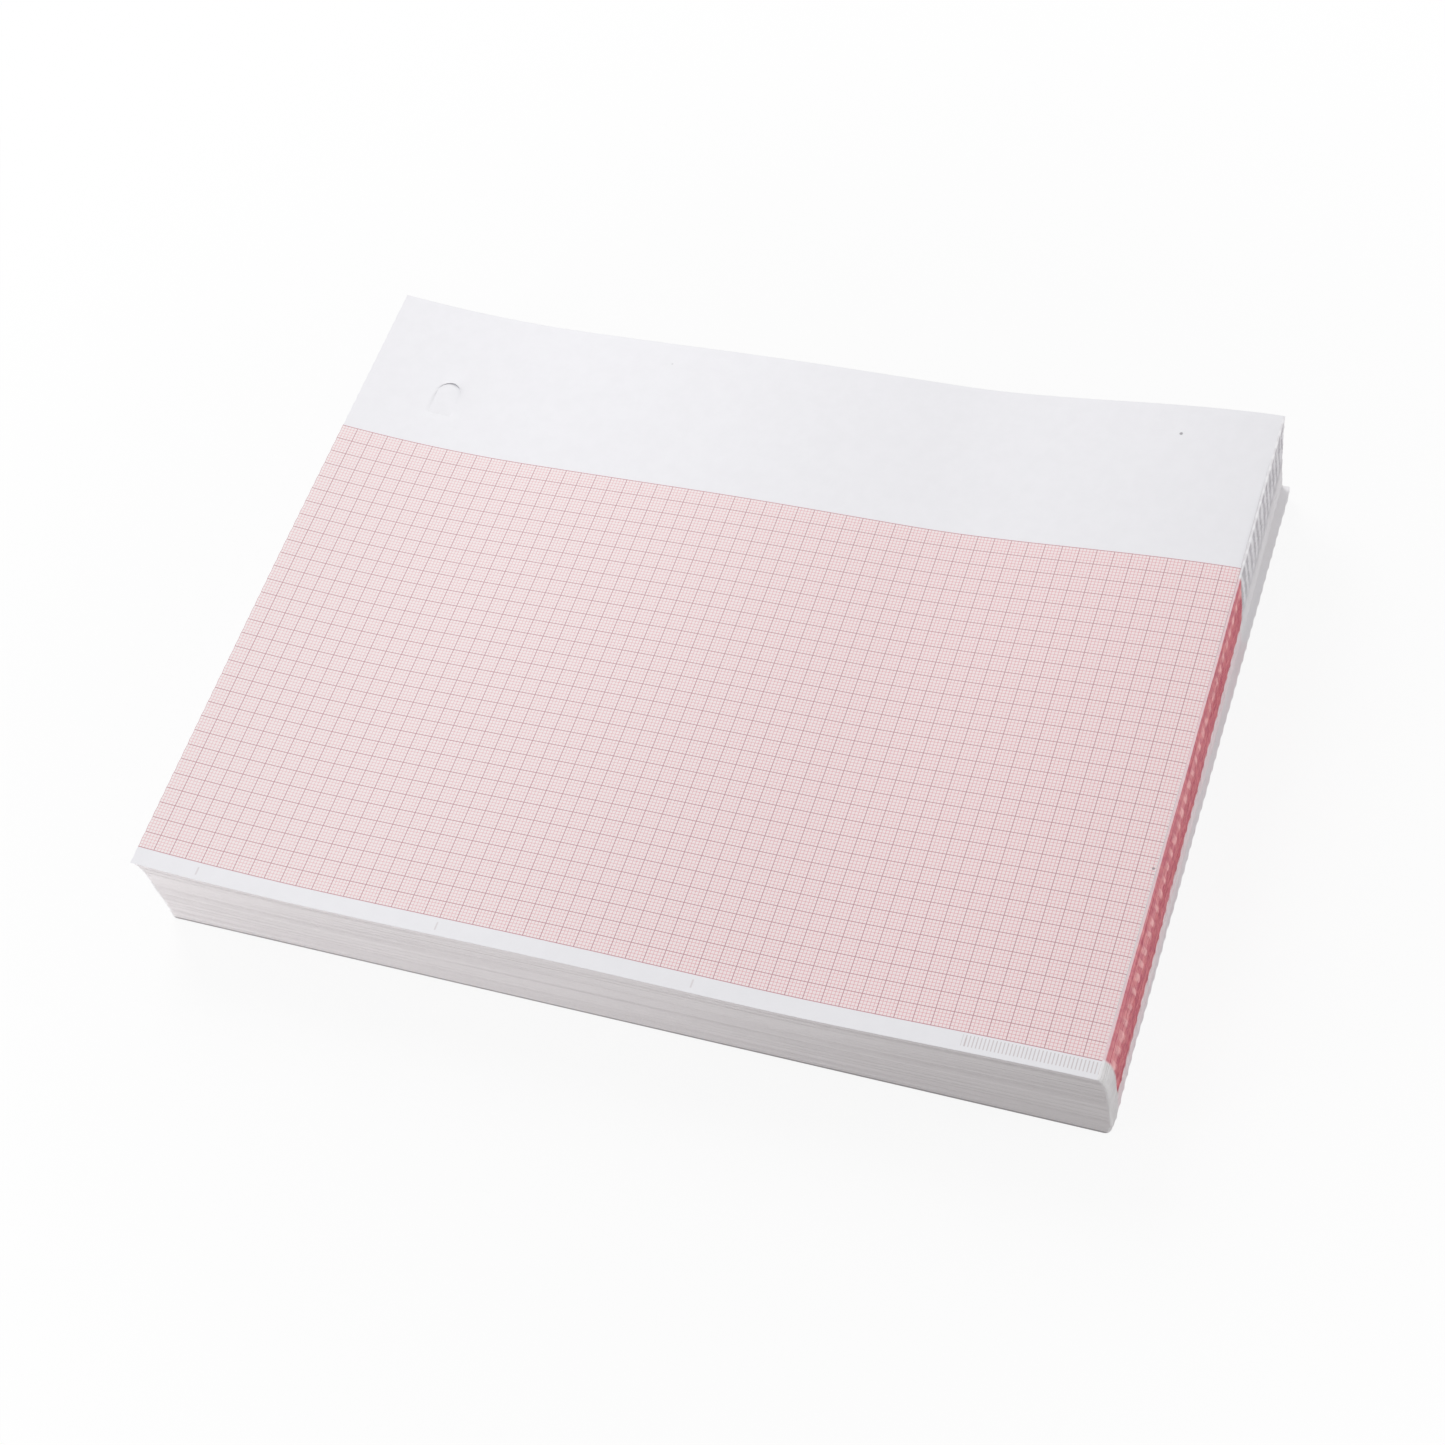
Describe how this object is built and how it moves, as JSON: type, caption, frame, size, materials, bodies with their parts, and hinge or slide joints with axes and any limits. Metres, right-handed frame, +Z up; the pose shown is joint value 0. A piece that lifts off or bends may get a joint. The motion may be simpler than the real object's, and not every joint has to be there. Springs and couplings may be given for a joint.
{
  "type": "z-fold chart paper",
  "caption": "Flat pack of z-folded recording paper with a printed pink millimetre grid, a plain header strip and fold ends that stand higher than its middle.",
  "frame": {"origin": "middle of the underside, at the bottom centre of the bounding box", "axes": "+X from the free end of the top leaf toward its first fold, +Y from the front cut edge toward the plain header strip, +Z up out of the printed face"},
  "size_m": [0.2848, 0.215, 0.0368],
  "materials": {
    "paper": "matt"
  },
  "bodies": {
    "root": {"chart_paper": "paper"}
  },
  "joints": []
}
